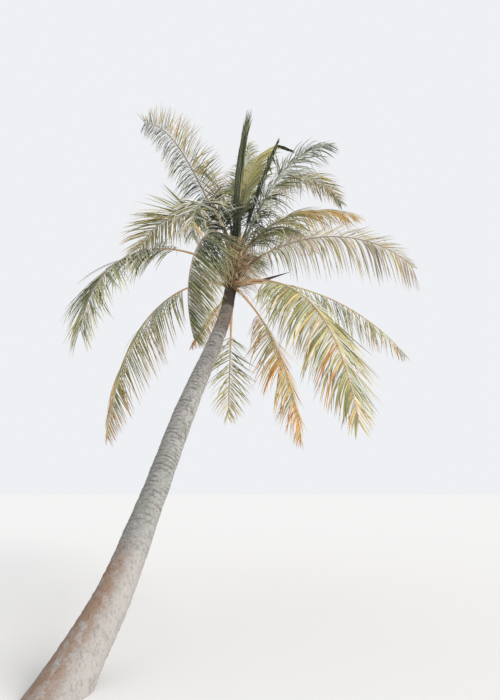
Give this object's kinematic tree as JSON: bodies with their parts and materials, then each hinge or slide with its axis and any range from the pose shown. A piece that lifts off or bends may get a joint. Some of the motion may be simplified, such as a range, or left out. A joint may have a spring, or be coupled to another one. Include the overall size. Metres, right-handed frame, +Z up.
{
  "type": "coconut palm tree",
  "caption": "Leaning coconut palm: ringed grey trunk with a flared foot, fibrous leaf bases, a closed spear leaf, a dry spathe and a full crown of arching feather fronds.",
  "frame": {"origin": "centre of the flat cut under the trunk at ground level", "axes": "+Z up, -Y toward the viewer of the picture, +X to the viewer's right"},
  "size_m": [6.5072, 7.3094, 11.6759],
  "materials": {
    "bark": "grey weathered palm bark with ring scars, fine cracks and a brown stained foot",
    "leaf_bases": "orange-brown fibrous leaf bases and leaf stalks, matte",
    "frond": "faded grey-green to straw-yellow and orange-brown leaflets, soft sheen",
    "young_leaf": "closed green spear leaf, soft sheen",
    "spathe": "dark brown dry woody bract"
  },
  "bodies": {
    "root": {"frond_01_upper_left": "frond", "frond_02_left_arch_inner": "frond", "frond_02_left_arch_outer": "frond", "frond_03_left_long_inner": "frond", "frond_03_left_long_outer": "frond", "frond_04_front_left_inner": "frond", "frond_04_front_left_outer": "frond", "frond_05_left_low_inner": "frond", "frond_05_left_low_outer": "frond", "frond_06_trunk_left": "frond", "frond_07_trunk_back_inner": "frond", "frond_07_trunk_back_outer": "frond", "frond_08_orange_hang": "frond", "frond_09_right_low": "frond", "frond_10_right_mid": "frond", "frond_11_right_long": "frond", "frond_12_right_back": "frond", "frond_13_right_high_back_inner": "frond", "frond_13_right_high_back_outer": "frond", "frond_14_right_high_front": "frond", "frond_15_kinked": "frond", "frond_16_back_mid": "frond", "frond_17_centre_back": "frond", "frond_18_back_high": "frond", "frond_19_back_left": "frond", "frond_20_front_high_inner": "frond", "frond_20_front_high_outer": "frond", "frond_21_front_right": "frond", "frond_22_back_low": "frond", "frond_23_back_right": "frond", "leaf_bases": "leaf_bases", "spathe": "spathe", "spear": "young_leaf", "trunk": "bark"}
  },
  "joints": []
}
